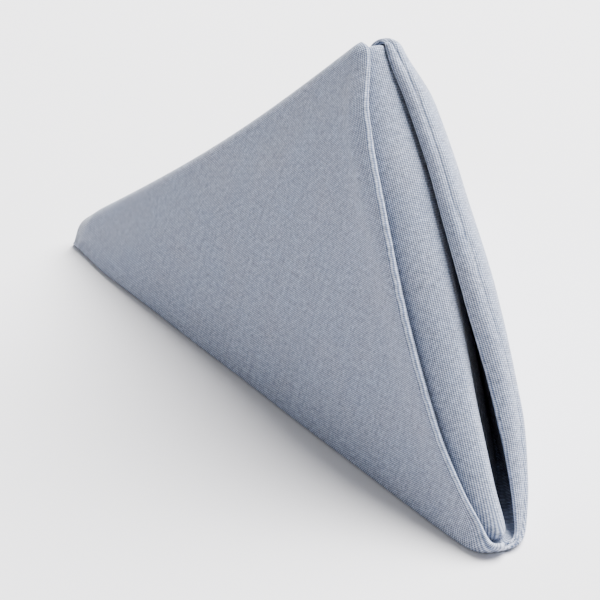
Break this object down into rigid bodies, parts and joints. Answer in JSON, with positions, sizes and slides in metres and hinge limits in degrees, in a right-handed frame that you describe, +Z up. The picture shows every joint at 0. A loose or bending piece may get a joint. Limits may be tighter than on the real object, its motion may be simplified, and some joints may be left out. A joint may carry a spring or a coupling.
{
  "type": "folded cloth napkin",
  "caption": "Square cloth napkin in a pyramid fold, standing as a two-sided tent with its flaps meeting along a rounded ridge.",
  "frame": {"origin": "middle of the napkin's box, on the surface it stands on", "axes": "+Y from the closed tip towards the open end, +Z up"},
  "size_m": [0.1538, 0.262, 0.1339],
  "materials": {
    "cloth": "matt plain weave in blue-grey yarn with lighter flecks"
  },
  "bodies": {
    "root": {"napkin": "cloth"}
  },
  "joints": []
}
